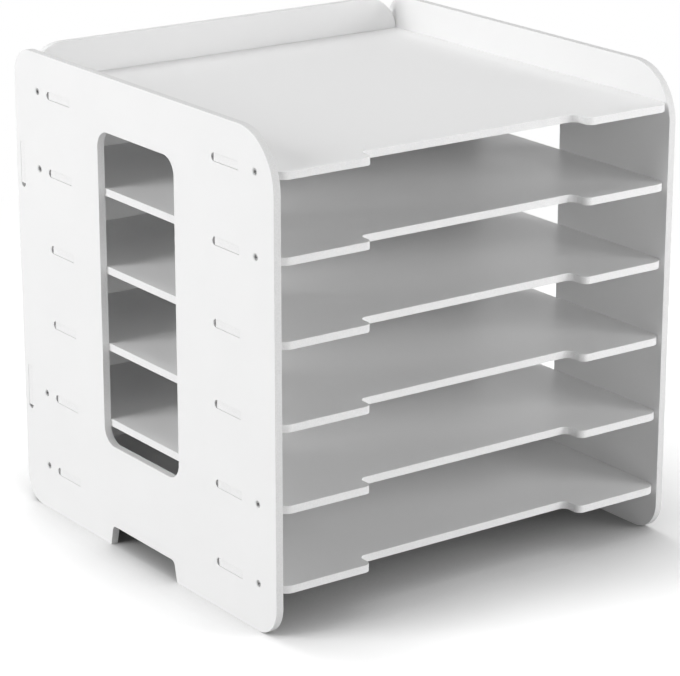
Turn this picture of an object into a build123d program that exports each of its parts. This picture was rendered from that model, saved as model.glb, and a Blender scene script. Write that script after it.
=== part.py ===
from build123d import *
import os

# A desktop paper organizer cut from one thickness of rigid white board: two side panels,
# a back panel and six fixed shelves, joined by tabs in slots and by countersunk screws.
# X runs across, Y from front to rear, Z up, in millimetres.
# The origin is on the floor, in the middle of the footprint.

# Boards
board = 5.2                 # thickness of every board
inner_width = 310.0         # clear width between the side panels
panel_depth = 313.0         # side panel, front to rear
foot_height = 29.8          # floor to the underside of the bottom shelf
shelf_pitch = 53.6          # one shelf's underside to the next
lip_height = 24.0           # side and back panels above the top shelf
shelf_setback = 0.5         # shelf fronts behind the side panels' fronts
rear_overhang = 5.5         # side panels behind the back panel
back_gap = 0.4              # shelf rear edge to the back panel
back_skirt = 15.0           # back panel below the bottom shelf

# Side panel outline
front_top_radius = 38.0
rear_top_radius = 20.0
front_foot_radius = 21.0
rear_foot_radius = 20.0
cut_offset = 2.0            # window and foot arch behind the panel's middle
window_width = 93.0
window_sill = 37.7          # window above the bottom shelf
window_head = 8.0           # window below the top shelf
window_radius = 12.0
arch_base = 83.5            # foot arch at the floor
arch_crown = 77.0           # foot arch at its top
arch_height = 14.6
arch_radius = 4.0

# Shelf outline
shelf_corner_radius = 8.0
notch_width = 172.0         # finger notch in the front edge
notch_depth = 14.5
notch_radius = 5.0

# Back panel outline
back_corner_radius = 27.0

# Tabs and slots
tab_length = 27.0           # each tab of a shelf
back_tab_length = 29.0      # each tab of the back panel
front_tab_inset = 37.7      # shelf front to its front side tab
rear_tab_inset = 34.9       # shelf rear to its rear side tab
back_slot_inset = 38.7      # side panel to the shelf's tab in the back panel
tab_clearance = 0.05        # between a tab and its slot, at the tight sides
slot_slack = 0.3            # between a tab and its slot, at the slack side

# Screws
screw_length = 16.0
shank_radius = 1.25
head_radius = 2.6           # at the panel's outer face
tip_length = 2.0
recess_span = 3.0           # cross recess, tip to tip
recess_width = 0.8
recess_depth = 1.2
recess_taper = 8.0          # degrees
screw_front_inset = 19.8    # shelf front to the screw axis
screw_rear_inset = 19.4     # shelf rear to the screw axis
hole_clearance = 0.1        # round the shank in the side panel, and under the head
pilot_clearance = 0.03      # round the shank in the shelf
pilot_overrun = 1.5         # pilot hole beyond the screw's tip

# Shelves from the bottom up, and whether each one is screwed as well as slotted
shelf_names = ("bottom_shelf", "fifth_shelf", "fourth_shelf", "third_shelf", "second_shelf", "top_shelf")
screwed_names = ("bottom_shelf", "fifth_shelf", "second_shelf", "top_shelf")
back_tab_names = ("fifth_shelf", "second_shelf")

# Places that follow from the sizes
underside = {name: foot_height + level * shelf_pitch for level, name in enumerate(shelf_names)}
shelf_middle = {name: z + board / 2 for name, z in underside.items()}
panel_height = underside["top_shelf"] + board + lip_height
side_face = inner_width / 2
panel_front = -panel_depth / 2
back_face = panel_depth / 2 - rear_overhang - board
back_bottom = foot_height - back_skirt
shelf_front = panel_front + shelf_setback
shelf_rear = back_face - back_gap
shelf_depth = shelf_rear - shelf_front
shelf_center = (shelf_front + shelf_rear) / 2
front_tab = shelf_front + front_tab_inset + tab_length / 2
rear_tab = shelf_rear - rear_tab_inset - tab_length / 2
back_slot = side_face - back_slot_inset - tab_length / 2
window_bottom = foot_height + board + window_sill
window_top = underside["top_shelf"] - window_head
screw_rows = (shelf_front + screw_front_inset, shelf_rear - screw_rear_inset)
slot_width = board + tab_clearance + slot_slack
pilot_depth = screw_length - board + pilot_overrun

os.makedirs("parts", exist_ok=True)


def save(part, name):
    part.label = name
    export_step(part, f"parts/{name}.step")


def draw_slot(tab, slack_side):
    # The slot for a tab that lies along X with its middle at the origin. It is tight round
    # the tab but for one long side, and its far end is round, as the cutter leaves it
    length = tab + 2 * tab_clearance
    with BuildSketch() as slot:
        with Locations((0, slack_side * (slot_slack - tab_clearance) / 2)):
            Rectangle(length, slot_width)
            with Locations((length / 2, 0)):
                Circle(slot_width / 2)
    return slot.sketch


def make_side_panel():
    # The right-hand panel, drawn on its inner face: Y across the sketch, Z up it
    shelf_slot = draw_slot(tab_length, -1)
    back_panel_slot = draw_slot(back_tab_length, 1)
    inner_face = Plane.YZ.offset(side_face)
    outer_face = Plane.YZ.offset(side_face + board)
    with BuildPart() as panel:
        with BuildSketch(inner_face) as outline:
            with Locations((0, panel_height / 2)):
                Rectangle(panel_depth, panel_height)
            corners = (
                (0, -1, front_top_radius),
                (-1, -1, rear_top_radius),
                (0, 0, front_foot_radius),
                (-1, 0, rear_foot_radius),
            )
            for edge, end, radius in corners:
                edge_vertices = outline.vertices().group_by(Axis.X)[edge]
                fillet(edge_vertices.sort_by(Axis.Y)[end], radius)
            with Locations((cut_offset, (window_bottom + window_top) / 2)):
                RectangleRounded(window_width, window_top - window_bottom, window_radius, mode=Mode.SUBTRACT)
            with BuildLine():
                Polyline(
                    (cut_offset - arch_base / 2, 0),
                    (cut_offset - arch_crown / 2, arch_height),
                    (cut_offset + arch_crown / 2, arch_height),
                    (cut_offset + arch_base / 2, 0),
                    close=True,
                )
            make_face(mode=Mode.SUBTRACT)
            crown = outline.vertices().filter_by_position(Axis.Y, arch_height - 0.01, arch_height + 0.01)
            fillet(crown, arch_radius)
        extrude(amount=board)

        # Shelf slots are slack below and round at the rear, the back panel's are slack behind
        # and round at the bottom
        with BuildSketch(inner_face):
            for height in shelf_middle.values():
                with Locations((front_tab, height), (rear_tab, height)):
                    add(shelf_slot)
            for name in back_tab_names:
                with Locations((back_face + board / 2, shelf_middle[name])):
                    add(back_panel_slot, rotation=-90)
        extrude(amount=board, mode=Mode.SUBTRACT)

        # Countersunk clearance holes, from the outer face
        screw_places = [(row, shelf_middle[name]) for name in screwed_names for row in screw_rows]
        with Locations(outer_face.location):
            with Locations(*screw_places):
                CounterSinkHole(
                    radius=shank_radius + hole_clearance,
                    counter_sink_radius=head_radius + hole_clearance,
                    depth=board,
                    counter_sink_angle=90,
                )
    return panel.part


def make_back_panel():
    # Drawn on its front face: X across the sketch, Z up it
    right_slot = draw_slot(tab_length, -1)
    left_slot = draw_slot(tab_length, 1)
    with BuildPart() as panel:
        with BuildSketch(Plane.XZ.offset(-back_face)) as outline:
            with Locations((0, (back_bottom + panel_height) / 2)):
                Rectangle(inner_width, panel_height - back_bottom)
            fillet(outline.vertices().group_by(Axis.Y)[-1], back_corner_radius)
            for name in back_tab_names:
                with Locations((0, shelf_middle[name])):
                    Rectangle(inner_width + 2 * board, back_tab_length)
            for height in shelf_middle.values():
                with Locations((back_slot, height)):
                    add(right_slot, mode=Mode.SUBTRACT)
                with Locations((-back_slot, height)):
                    add(left_slot, rotation=180, mode=Mode.SUBTRACT)
        extrude(amount=-board)
    return panel.part


def make_shelf(name):
    with BuildPart() as shelf:
        with BuildSketch(Plane.XY.offset(underside[name])) as outline:
            with Locations((0, shelf_center)):
                Rectangle(inner_width, shelf_depth)
            fillet(outline.vertices().group_by(Axis.Y)[0], shelf_corner_radius)

            # Finger notch: its corners at the front edge and at its bottom are rounded alike
            with Locations((0, shelf_front)):
                Rectangle(notch_width, 2 * notch_depth, mode=Mode.SUBTRACT)
            notch_corners = outline.vertices().filter_by_position(
                Axis.X, -notch_width / 2 - 0.01, notch_width / 2 + 0.01
            )
            fillet(notch_corners, notch_radius)

            # Tabs at both sides and at the rear, flush with the far faces of their panels
            with Locations((0, front_tab), (0, rear_tab)):
                Rectangle(inner_width + 2 * board, tab_length)
            rear_reach = back_gap + board
            with Locations((-back_slot, shelf_rear + rear_reach / 2), (back_slot, shelf_rear + rear_reach / 2)):
                Rectangle(tab_length, rear_reach)
        extrude(amount=board)

        # Pilot holes in both side edges
        if name in screwed_names:
            for side in (-1, 1):
                edge = Plane(origin=(side * side_face, 0, 0), x_dir=(0, side, 0), z_dir=(side, 0, 0))
                with Locations(edge.location):
                    with Locations(*[(side * row, shelf_middle[name]) for row in screw_rows]):
                        Hole(radius=shank_radius + pilot_clearance, depth=pilot_depth)
    return shelf.part


def make_screw():
    # Countersunk, cross recessed, its head's face in the YZ plane and its tip towards -X
    head_depth = head_radius - shank_radius
    with BuildPart() as screw:
        with BuildSketch(Plane.XY):
            with BuildLine():
                Polyline(
                    (0, 0),
                    (0, head_radius),
                    (-head_depth, shank_radius),
                    (tip_length - screw_length, shank_radius),
                    (-screw_length, 0),
                    close=True,
                )
            make_face()
        revolve(axis=Axis.X)
        with BuildSketch(Plane.YZ):
            Rectangle(recess_span, recess_width)
            Rectangle(recess_width, recess_span)
        extrude(amount=-recess_depth, taper=recess_taper, mode=Mode.SUBTRACT)
    return screw.part


right_panel = make_side_panel()
with BuildPart() as right_side_panel:
    add(right_panel)
save(right_side_panel.part, "right_side_panel")

with BuildPart() as left_side_panel:
    mirror(right_panel, about=Plane.YZ)
save(left_side_panel.part, "left_side_panel")

save(make_back_panel(), "back_panel")

for shelf_name in shelf_names:
    save(make_shelf(shelf_name), shelf_name)

# Sixteen screws: both sides, front and rear, on each screwed shelf
screw_model = make_screw()
for side_name, side, turn in (("left", -1, 180), ("right", 1, 0)):
    for row_name, row in zip(("front", "rear"), screw_rows):
        for shelf_name in screwed_names:
            with BuildPart() as screw:
                place = (side * (side_face + board), row, shelf_middle[shelf_name])
                with Locations(Location(place, (0, 0, turn))):
                    add(screw_model)
            save(screw.part, f"{shelf_name}_screw_{side_name}_{row_name}")
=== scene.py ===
import bpy
import bmesh
import math
import random
from mathutils import Matrix, Vector


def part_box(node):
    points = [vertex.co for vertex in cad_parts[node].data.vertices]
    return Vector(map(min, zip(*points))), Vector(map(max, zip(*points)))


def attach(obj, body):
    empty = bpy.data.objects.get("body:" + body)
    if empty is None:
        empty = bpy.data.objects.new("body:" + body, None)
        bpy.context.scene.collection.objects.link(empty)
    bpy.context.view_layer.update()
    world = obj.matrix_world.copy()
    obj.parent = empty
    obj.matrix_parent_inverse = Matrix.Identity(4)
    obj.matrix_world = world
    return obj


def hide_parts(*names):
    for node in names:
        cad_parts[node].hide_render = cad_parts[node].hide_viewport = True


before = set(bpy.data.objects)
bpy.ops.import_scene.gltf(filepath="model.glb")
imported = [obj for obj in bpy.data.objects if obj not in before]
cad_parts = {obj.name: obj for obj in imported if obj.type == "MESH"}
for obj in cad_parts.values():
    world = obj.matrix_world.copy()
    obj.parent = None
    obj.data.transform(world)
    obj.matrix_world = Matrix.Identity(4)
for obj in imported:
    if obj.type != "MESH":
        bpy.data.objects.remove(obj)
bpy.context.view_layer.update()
scene = bpy.context.scene

# Lengths are in metres: X across, Y to the rear, Z up
mm = 0.001

sidePanels = ("left_side_panel", "right_side_panel")
shelves = ("bottom_shelf", "fifth_shelf", "fourth_shelf", "third_shelf", "second_shelf", "top_shelf")
boardNodes = sidePanels + shelves + ("back_panel",)
screwNodes = sorted(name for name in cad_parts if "_screw_" in name)


def selectOnly(piece):
    bpy.ops.object.select_all(action="DESELECT")
    piece.select_set(True)
    bpy.context.view_layer.objects.active = piece


def applyModifiers(piece):
    selectOnly(piece)
    for modifier in list(piece.modifiers):
        bpy.ops.object.modifier_apply(modifier=modifier.name)


def settle(piece):
    # Puts the piece's place into its mesh
    selectOnly(piece)
    bpy.ops.object.transform_apply(location=True, rotation=True, scale=True)


# A node's output that takes part in plain expressions
class Signal:
    def __init__(self, finish, socket):
        self.finish = finish
        self.socket = socket

    def maths(self, operation, first, second):
        return self.finish.node("Math", {"operation": operation}, {0: first, 1: second})

    def __add__(self, other):
        return self.maths("ADD", self, other)

    def __radd__(self, other):
        return self.maths("ADD", other, self)

    def __sub__(self, other):
        return self.maths("SUBTRACT", self, other)

    def __rsub__(self, other):
        return self.maths("SUBTRACT", other, self)

    def __mul__(self, other):
        return self.maths("MULTIPLY", self, other)

    def __rmul__(self, other):
        return self.maths("MULTIPLY", other, self)

    def __or__(self, other):
        return self.maths("MAXIMUM", self, other)

    def __ror__(self, other):
        return self.maths("MAXIMUM", other, self)


# The nodes of a material or of the world
class Finish:
    def __init__(self, owner):
        self.owner = owner
        owner.use_nodes = True
        self.tree = owner.node_tree
        self.tree.nodes.clear()

    def node(self, kind, settings=None, sockets=None, output=0):
        added = self.tree.nodes.new("ShaderNode" + kind)
        for setting, value in (settings or {}).items():
            setattr(added, setting, value)
        for name, value in (sockets or {}).items():
            if isinstance(value, Signal):
                self.tree.links.new(value.socket, added.inputs[name])
            else:
                added.inputs[name].default_value = value
        return Signal(self, added.outputs[output]) if added.outputs else None

    def place(self):
        return self.node("TexCoord", output="Object")

    def mark(self, name):
        return self.node("Attribute", {"attribute_name": name}, output="Fac")

    def ray(self, kind):
        return self.node("LightPath", output=f"Is {kind} Ray")

    def noise(self, size, detail, stretch=(1, 1, 1)):
        place = self.node("Mapping", None, {"Vector": self.place(), "Scale": stretch})
        return self.node("TexNoise", None, {"Vector": place, "Scale": 1 / size, "Detail": detail})

    def ease(self, value, span, result=(0.0, 1.0)):
        return self.node("MapRange", {"interpolation_type": "SMOOTHSTEP"}, {
            "Value": value,
            "From Min": span[0],
            "From Max": span[1],
            "To Min": result[0],
            "To Max": result[1],
        })

    def blend(self, factor, first, second):
        # The Mix node's own colour sockets are 6 and 7, and its colour comes out of 2
        return self.node("Mix", {"data_type": "RGBA"}, {0: factor, 6: first, 7: second}, 2)

    def bump(self, height, distance, under=None):
        sockets = {"Height": height, "Distance": distance}
        if under is not None:
            sockets["Normal"] = under
        return self.node("Bump", None, sockets)

    def surface(self, shader):
        self.node("OutputMaterial", None, {"Surface": shader})
        return self.owner


def newFinish(name):
    return Finish(bpy.data.materials.new(name))


def grey(level):
    return (level, level, level, 1.0)


# White rigid foam board: a satin skin on both faces, a matte cellular core where it is cut
boardFinish = {
    "skin": 0.865,
    "skinMottle": 0.003,       # how much the skin's white wanders
    "mottleSize": 45 * mm,
    "mottleSpan": (0.3, 0.7),
    "skinRoughness": (0.38, 0.46),
    "peelSize": 1.3 * mm,      # fine texture of the extruded skin
    "peelDepth": 0.004 * mm,
    # The side panels' cut edges are a darker grey than the shelves' and the back's
    "panelCore": 0.80,
    "shelfCore": 0.88,
    "coreSpeck": 0.06,         # how much darker the open cells are
    "coreRoughness": (0.62, 0.74),
    "cellSize": 0.55 * mm,
    "cellDepth": 0.05 * mm,
    "cellSpan": (0.38, 0.62),
    "cellRoughSpan": (0.3, 0.7),
    "cutterMarks": 0.9 * mm,   # spacing of the cutter's marks across a cut edge
    "cutterDepth": 0.02 * mm,
    "cutterStretch": 0.08,     # scale of the marks through the board, which draws them out
    "refraction": 1.46,
}


def makeBoardFinish(name, thinAxis, coreTone):
    look = boardFinish
    finish = newFinish(name)
    cut = finish.mark("cutEdge")

    mottle = finish.noise(look["mottleSize"], 3.0)
    skinLow = grey(look["skin"] - look["skinMottle"])
    skinHigh = grey(look["skin"] + look["skinMottle"])
    skin = finish.blend(finish.ease(mottle, look["mottleSpan"]), skinLow, skinHigh)

    cells = finish.noise(look["cellSize"], 4.0)
    speck = finish.ease(cells, look["cellSpan"])
    core = finish.blend(speck, grey(coreTone - look["coreSpeck"]), grey(coreTone))

    across = [1.0, 1.0, 1.0]
    across[thinAxis] = look["cutterStretch"]
    marks = finish.noise(look["cutterMarks"], 1.0, across)
    peel = finish.noise(look["peelSize"], 2.0)

    skinBump = finish.bump(peel, look["peelDepth"])
    coreRelief = speck * (look["cellDepth"] / mm) + marks * (look["cutterDepth"] / mm)
    normal = finish.bump(coreRelief * cut, mm, skinBump)

    skinRough = finish.ease(mottle, look["mottleSpan"], look["skinRoughness"])
    coreRough = finish.ease(cells, look["cellRoughSpan"], look["coreRoughness"])
    return finish.surface(finish.node("BsdfPrincipled", None, {
        "Base Color": finish.blend(cut, skin, core),
        "Roughness": skinRough + (coreRough - skinRough) * cut,
        "Normal": normal,
        "IOR": look["refraction"],
    }))


# Each board is a merged copy of its node, with its arrises broken as a cutter leaves them
boardBuild = {
    "weld": 0.002 * mm,
    "flatWithin": 0.3,         # degrees, faces this level are one face
    "arris": 0.3 * mm,
    "fineArris": 0.1 * mm,     # round slots, holes and tabs
    "arrisSteps": 3,
    "smallCutout": 45 * mm,    # slots and holes are smaller than this
    "seatedWithin": 0.1 * mm,  # an edge this near another board is seated in it
    "sharpOver": 40.0,         # degrees
    "wearOnArris": 0.5,        # an arris shows this much of the core
    "skinFacing": 0.99,        # a face of the board looks along its thin axis
    "cutFacing": 0.1,          # and a cut face looks across it
}


def sharpGroups(shape):
    # Sharp edges, in groups that touch one another
    limit = math.radians(boardBuild["sharpOver"])
    left = {edge for edge in shape.edges if edge.calc_face_angle(0) > limit}
    groups = []
    for start in shape.edges:
        if start not in left:
            continue
        left.remove(start)
        group = [start]
        for edge in group:
            for vertex in edge.verts:
                for other in vertex.link_edges:
                    if other in left:
                        left.remove(other)
                        group.append(other)
        groups.append(group)
    return groups


def isSmall(group):
    places = [vertex.co for edge in group for vertex in edge.verts]
    for axis in range(3):
        along = [place[axis] for place in places]
        if max(along) - min(along) > boardBuild["smallCutout"]:
            return False
    return True


def isSeated(place, boxes):
    slack = boardBuild["seatedWithin"]
    for low, high in boxes:
        if all(low[axis] - slack < place[axis] < high[axis] + slack for axis in range(3)):
            return True
    return False


def gradeArrises(board, node):
    # The bevel's weight is full round a board's outline, and slight where boards meet
    boxes = [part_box(other) for other in boardNodes if other != node]
    shape = bmesh.new()
    shape.from_mesh(board.data)
    weights = shape.edges.layers.float.new("bevel_weight_edge")
    slight = boardBuild["fineArris"] / boardBuild["arris"]
    for group in sharpGroups(shape):
        small = isSmall(group)
        for edge in group:
            middle = (edge.verts[0].co + edge.verts[1].co) / 2
            edge[weights] = slight if small or isSeated(middle, boxes) else 1.0
    shape.to_mesh(board.data)
    shape.free()


def markCutFaces(board, thinAxis):
    marks = board.data.attributes.new("cutEdge", "FLOAT", "FACE")
    for face in board.data.polygons:
        facing = abs(face.normal[thinAxis])
        if facing > boardBuild["skinFacing"]:
            marks.data[face.index].value = 0.0
        elif facing < boardBuild["cutFacing"]:
            marks.data[face.index].value = 1.0
        else:
            marks.data[face.index].value = boardBuild["wearOnArris"]


def dressBoard(node, thinAxis, material):
    board = bpy.data.objects.new(node + "_board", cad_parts[node].data.copy())
    scene.collection.objects.link(board)
    selectOnly(board)
    bpy.ops.mesh.customdata_custom_splitnormals_clear()
    bpy.ops.object.mode_set(mode="EDIT")
    bpy.ops.mesh.select_all(action="SELECT")
    bpy.ops.mesh.remove_doubles(threshold=boardBuild["weld"])
    bpy.ops.mesh.dissolve_limited(angle_limit=math.radians(boardBuild["flatWithin"]))
    bpy.ops.mesh.select_all(action="DESELECT")
    bpy.ops.object.mode_set(mode="OBJECT")

    gradeArrises(board, node)
    arris = board.modifiers.new("arris", "BEVEL")
    arris.limit_method = "WEIGHT"
    arris.width = boardBuild["arris"]
    arris.segments = boardBuild["arrisSteps"]
    arris.use_clamp_overlap = True
    arris.loop_slide = False
    applyModifiers(board)

    bpy.ops.object.shade_smooth_by_angle(angle=math.radians(boardBuild["sharpOver"]))
    weighted = board.modifiers.new("flat faces stay flat", "WEIGHTED_NORMAL")
    weighted.keep_sharp = True
    weighted.weight = 100
    applyModifiers(board)

    markCutFaces(board, thinAxis)
    board.data.materials.clear()
    board.data.materials.append(material)
    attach(board, "root")
    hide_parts(node)


def dressBoards():
    acrossX = makeBoardFinish("foam_board_side", 0, boardFinish["panelCore"])
    acrossY = makeBoardFinish("foam_board_back", 1, boardFinish["shelfCore"])
    acrossZ = makeBoardFinish("foam_board_shelf", 2, boardFinish["shelfCore"])
    for panel in sidePanels:
        dressBoard(panel, 0, acrossX)
    dressBoard("back_panel", 1, acrossY)
    for shelf in shelves:
        dressBoard(shelf, 2, acrossZ)


dressBoards()
print("boards done")


# Zinc plated steel, stained here and there, with fine turning marks, and painted shade inside the recess
screwFinish = {
    "zinc": 0.74,
    "tarnish": 0.60,
    "tarnishSize": 0.9 * mm,
    "tarnishSpan": (0.35, 0.7),
    "recess": 0.22,            # the shaded inside of the recess
    "roughness": (0.2, 0.32),
    "turningMarks": 0.05 * mm,
    "markDepth": 0.004 * mm,
}


def makeScrewFinish():
    look = screwFinish
    finish = newFinish("zinc_plated_steel")
    stain = finish.ease(finish.noise(look["tarnishSize"], 3.0), look["tarnishSpan"])
    marks = finish.noise(look["turningMarks"], 2.0)
    plate = finish.blend(stain, grey(look["zinc"]), grey(look["tarnish"]))
    return finish.surface(finish.node("BsdfPrincipled", None, {
        # The recess is painted dark grey: painted shade inside it
        "Base Color": finish.blend(finish.mark("recess"), plate, grey(look["recess"])),
        "Metallic": 1.0,
        "Roughness": finish.ease(stain, (0.0, 1.0), look["roughness"]),
        "Normal": finish.bump(marks, look["markDepth"]),
    }))


# Countersunk screws with a cross recess, all alike but for how far each was turned
screwBuild = {
    "sides": 48,
    "sink": 0.32 * mm,         # head's face below the panel's
    "headRadius": 2.33 * mm,
    "topRadius": 2.15 * mm,    # flat of the head, inside its rounded rim
    "rimDrop": 0.12 * mm,
    "land": 0.1 * mm,          # straight part of the rim
    "headDepth": 1.4 * mm,
    "coreRadius": 0.95 * mm,
    "tipLength": 2.2 * mm,
    "tipRadius": 0.1 * mm,
    "shankSmooth": 35,         # degrees
    "recessSpan": 3.1 * mm,
    "recessWidth": 0.85 * mm,
    "recessDepth": 1.25 * mm,
    "recessTaper": 0.62,       # the recess at its bottom, as a share of its mouth
    "recessEdge": 0.06 * mm,
    "recessReach": 0.52,       # its walls lie within this share of its span from the axis
    "recessTop": 0.05 * mm,    # and from this depth
    "recessBottom": 1.4 * mm,  # to this one
    "edgeOver": 50,            # degrees
    "threadRadius": 1.24 * mm,
    "threadRoot": 0.05 * mm,   # how deep the thread stands in the shank
    "threadBase": 0.64,        # the ridge at its foot, as a share of the pitch
    "threadCrest": 0.06 * mm,  # and at its crest
    "threadStart": 0.4,        # first turn below the head, as a share of the pitch
    "threadSteps": 20,
    "pitch": 1.1 * mm,
    "turnSeed": 7,
}


def extrudeRing(drop, scale):
    bpy.ops.mesh.extrude_region_move(TRANSFORM_OT_translate={"value": (0, 0, -drop)})
    bpy.ops.transform.resize(value=(scale, scale, 1), center_override=(0, 0, 0))


def makeCrossCutter():
    size = screwBuild
    wings = []
    for turn in (0, 90):
        bpy.ops.object.select_all(action="DESELECT")
        bpy.ops.mesh.primitive_cube_add(size=1, location=(0, 0, 0))
        wing = bpy.context.active_object
        wing.scale = (size["recessSpan"], size["recessWidth"], 2 * size["recessDepth"])
        wing.rotation_euler = (0, 0, math.radians(turn))
        settle(wing)
        bpy.ops.object.mode_set(mode="EDIT")
        bpy.ops.mesh.select_all(action="DESELECT")
        shape = bmesh.from_edit_mesh(wing.data)
        for vertex in shape.verts:
            vertex.select = vertex.co.z < 0
        shape.select_flush_mode()
        bmesh.update_edit_mesh(wing.data)
        taper = size["recessTaper"]
        bpy.ops.transform.resize(value=(taper, taper, 1), center_override=(0, 0, 0))
        bpy.ops.object.mode_set(mode="OBJECT")
        wings.append(wing)
    cutter, other = wings
    joining = cutter.modifiers.new("join", "BOOLEAN")
    joining.operation = "UNION"
    joining.solver = "EXACT"
    joining.object = other
    applyModifiers(cutter)
    bpy.data.objects.remove(other)
    return cutter


def makeThread(length):
    # A vee ridge wound down the shank
    size = screwBuild
    bpy.ops.object.select_all(action="DESELECT")
    bpy.ops.mesh.primitive_plane_add(size=1, location=(0, 0, 0))
    ridge = bpy.context.active_object
    root = size["coreRadius"] - size["threadRoot"]
    foot = size["threadBase"] * size["pitch"] / 2
    crest = size["threadCrest"] / 2
    corners = (
        (root, 0, -foot),
        (size["threadRadius"], 0, -crest),
        (size["threadRadius"], 0, crest),
        (root, 0, foot),
    )
    bpy.ops.object.mode_set(mode="EDIT")
    shape = bmesh.from_edit_mesh(ridge.data)
    for loop, corner in zip(shape.faces[:][0].loops, corners):
        loop.vert.co = corner
    bmesh.update_edit_mesh(ridge.data)
    bpy.ops.mesh.select_all(action="SELECT")
    bpy.ops.mesh.delete(type="ONLY_FACE")
    bpy.ops.object.mode_set(mode="OBJECT")
    winding = ridge.modifiers.new("winding", "SCREW")
    winding.axis = "Z"
    winding.screw_offset = -size["pitch"]
    winding.iterations = max(1, int(length / size["pitch"]))
    winding.steps = size["threadSteps"]
    winding.render_steps = size["threadSteps"]
    winding.use_normal_calculate = True
    applyModifiers(ridge)
    bpy.ops.object.mode_set(mode="EDIT")
    bpy.ops.mesh.select_all(action="DESELECT")
    bpy.ops.mesh.select_mode(type="EDGE")
    bpy.ops.mesh.select_non_manifold()
    bpy.ops.mesh.fill()
    bpy.ops.mesh.select_all(action="SELECT")
    bpy.ops.mesh.normals_make_consistent(inside=False)
    bpy.ops.object.mode_set(mode="OBJECT")
    return ridge


def markRecess(screw):
    # The walls and the floor of the recess, which get painted shade: near the axis, and below the head's
    # face
    marks = screw.data.attributes.new("recess", "FLOAT", "FACE")
    reach = screwBuild["recessReach"] * screwBuild["recessSpan"]
    for face in screw.data.polygons:
        middle = face.center
        near = math.hypot(middle.x, middle.y) < reach
        deep = -screwBuild["recessBottom"] < middle.z < -screwBuild["recessTop"]
        marks.data[face.index].value = 1.0 if near and deep else 0.0


def makeHead(length):
    # The head's face is in the XY plane, and the shank goes down from it to the tip
    size = screwBuild
    bpy.ops.object.select_all(action="DESELECT")
    bpy.ops.mesh.primitive_circle_add(vertices=size["sides"], radius=size["topRadius"], fill_type="NGON")
    screw = bpy.context.active_object
    bpy.ops.object.mode_set(mode="EDIT")
    bpy.ops.mesh.select_mode(type="EDGE")
    bpy.ops.mesh.select_all(action="DESELECT")
    shape = bmesh.from_edit_mesh(screw.data)
    for edge in shape.edges:
        edge.select = True
    bmesh.update_edit_mesh(screw.data)
    extrudeRing(size["rimDrop"], size["headRadius"] / size["topRadius"])
    extrudeRing(size["land"], 1.0)
    extrudeRing(size["headDepth"] - size["rimDrop"] - size["land"], size["coreRadius"] / size["headRadius"])
    extrudeRing(length - size["headDepth"] - size["tipLength"], 1.0)
    extrudeRing(size["tipLength"], size["tipRadius"] / size["coreRadius"])
    bpy.ops.mesh.edge_face_add()
    bpy.ops.mesh.select_all(action="SELECT")
    bpy.ops.mesh.normals_make_consistent(inside=False)
    bpy.ops.object.mode_set(mode="OBJECT")
    return screw


def makeScrew(length):
    size = screwBuild
    screw = makeHead(length)
    cutter = makeCrossCutter()
    recess = screw.modifiers.new("recess", "BOOLEAN")
    recess.operation = "DIFFERENCE"
    recess.solver = "EXACT"
    recess.object = cutter
    applyModifiers(screw)
    bpy.data.objects.remove(cutter)
    markRecess(screw)

    soft = screw.modifiers.new("soft edges", "BEVEL")
    soft.limit_method = "ANGLE"
    soft.angle_limit = math.radians(size["edgeOver"])
    soft.width = size["recessEdge"]
    soft.segments = 2
    applyModifiers(screw)

    thread = makeThread(length - size["headDepth"] - size["tipLength"] - size["pitch"])
    thread.location = (0, 0, -size["headDepth"] - size["threadStart"] * size["pitch"])
    settle(thread)
    bpy.ops.object.select_all(action="DESELECT")
    thread.select_set(True)
    screw.select_set(True)
    bpy.context.view_layer.objects.active = screw
    bpy.ops.object.join()
    bpy.ops.object.shade_smooth_by_angle(angle=math.radians(size["shankSmooth"]))
    return screw


def dressScrews():
    sink = screwBuild["sink"]
    low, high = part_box(screwNodes[0])
    pattern = makeScrew(high.x - low.x - sink)
    material = makeScrewFinish()
    turns = random.Random(screwBuild["turnSeed"])
    for node in screwNodes:
        low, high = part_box(node)
        onRight = low.x > 0
        head = high.x - sink if onRight else low.x + sink
        outward = 90 if onRight else -90
        spin = Matrix.Rotation(turns.uniform(0, math.pi / 2), 4, "Z")
        turn = Matrix.Rotation(math.radians(outward), 4, "Y")
        place = Matrix.Translation((head, (low.y + high.y) / 2, (low.z + high.z) / 2))
        screw = bpy.data.objects.new(node + "_detail", pattern.data.copy())
        scene.collection.objects.link(screw)
        screw.data.transform(place @ turn @ spin)
        screw.data.materials.clear()
        screw.data.materials.append(material)
        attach(screw, "root")
        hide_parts(node)
    bpy.data.objects.remove(pattern)


dressScrews()
print("screws done")


# A pale floor that fades to pure white round the object, for the camera alone, with a contact shadow
# painted into its colour near the object
floorLook = {
    "size": 14.0,
    "seen": 1.5,               # the floor's white as the camera sees it
    "paintedContactShadow": 0.25,           # the same, painted darker in the object's contact shadow
    "contactReach": 0.16,
    "bounce": 0.60,            # the floor's white as the light meets it
    "fade": (0.42, 0.9),       # distances from the object's middle
}


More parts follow.
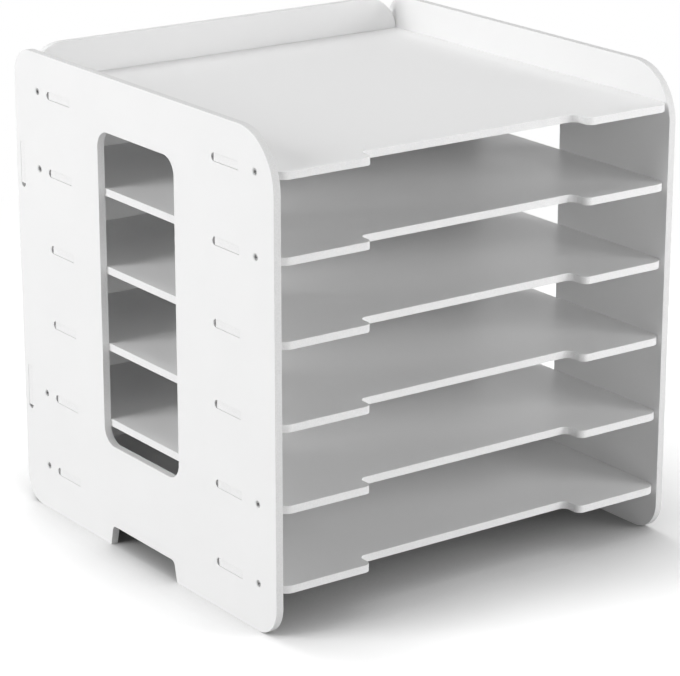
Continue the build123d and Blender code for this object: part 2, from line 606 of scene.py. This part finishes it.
def makeFloor():
    look = floorLook
    bpy.ops.object.select_all(action="DESELECT")
    bpy.ops.mesh.primitive_plane_add(size=look["size"], location=(0, 0, 0))
    floor = bpy.context.active_object
    floor.name = "floor"
    finish = newFinish("white_sweep")
    seen = finish.ray("Camera")
    # Ambient occlusion darkens the floor's colour near the object: a painted contact shadow
    clearance = finish.node("AmbientOcclusion", None, {"Distance": look["contactReach"]}, "AO")
    tone = finish.blend(clearance, grey(look["paintedContactShadow"]), grey(look["seen"]))
    paint = finish.node("BsdfDiffuse", None, {"Color": finish.blend(seen, grey(look["bounce"]), tone)})
    white = finish.node("Emission", None, {"Color": grey(1.0), "Strength": 1.0})
    away = finish.node("VectorMath", {"operation": "LENGTH"}, {0: finish.place()}, "Value")
    fade = finish.ease(away, look["fade"])
    floor.data.materials.append(finish.surface(
        finish.node("MixShader", None, {0: fade * seen, 1: paint, 2: white})
    ))


# A dim white world, which the camera and every reflection see as pure white
ambientLight = 0.12


def makeWorld():
    scene.world = bpy.data.worlds.new("studio")
    finish = Finish(scene.world)
    mirrored = finish.ray("Camera") | finish.ray("Glossy") | finish.ray("Transmission")
    strength = mirrored * (1.0 - ambientLight) + ambientLight
    sky = finish.node("Background", None, {"Color": grey(1.0), "Strength": strength})
    finish.node("OutputWorld", None, {"Surface": sky})


# Soft boxes, all turned to the object's middle
lampSetup = {
    "target": (0, 0, 0.16),
    "mirroredAbove": 1.5,      # lamps below this height stay out of reflections, where they burn out
    "lamps": {
        "leftBank": {"place": (-2.6, 0.6, 1.1), "size": (1.5, 1.8), "power": 60},
        "frontRightBank": {"place": (0.75, -1.05, 0.45), "size": (0.6, 0.6), "power": 7.2},
        "frontBank": {"place": (-0.2, -2.4, 0.75), "size": (1.6, 0.9), "power": 17},
        "topBank": {"place": (0.1, 0.2, 2.4), "size": (1.8, 1.8), "power": 9.5},
        "rearTopBank": {"place": (0.0, 0.9, 1.9), "size": (1.2, 1.2), "power": 9},
    },
}


def makeLamps():
    target = Vector(lampSetup["target"])
    for name, lamp in lampSetup["lamps"].items():
        light = bpy.data.lights.new(name, "AREA")
        light.shape = "RECTANGLE"
        light.size, light.size_y = lamp["size"]
        light.energy = lamp["power"]
        holder = bpy.data.objects.new(name, light)
        scene.collection.objects.link(holder)
        holder.location = lamp["place"]
        holder.rotation_euler = (target - holder.location).to_track_quat("-Z", "Y").to_euler()
        holder.visible_glossy = holder.location.z > lampSetup["mirroredAbove"]


cameraSetup = {
    "place": (-1.09113, -1.53005, 0.73700),
    "heading": 35.499,         # degrees right of straight on
    "tilt": 17.919,            # degrees down
    "lens": 152.06,
    "sensor": 36.0,
    "clip": (0.05, 50),
}


def makeCamera():
    camera = bpy.data.cameras.new("camera")
    camera.sensor_fit = "HORIZONTAL"
    camera.sensor_width = cameraSetup["sensor"]
    camera.lens = cameraSetup["lens"]
    camera.clip_start, camera.clip_end = cameraSetup["clip"]
    camera.dof.use_dof = False
    holder = bpy.data.objects.new("camera", camera)
    scene.collection.objects.link(holder)
    holder.location = cameraSetup["place"]
    upward = 90 - cameraSetup["tilt"]
    holder.rotation_euler = (math.radians(upward), 0, math.radians(-cameraSetup["heading"]))
    scene.camera = holder


makeFloor()
makeWorld()
makeLamps()
makeCamera()
scene.view_settings.view_transform = "Standard"
print("studio done")
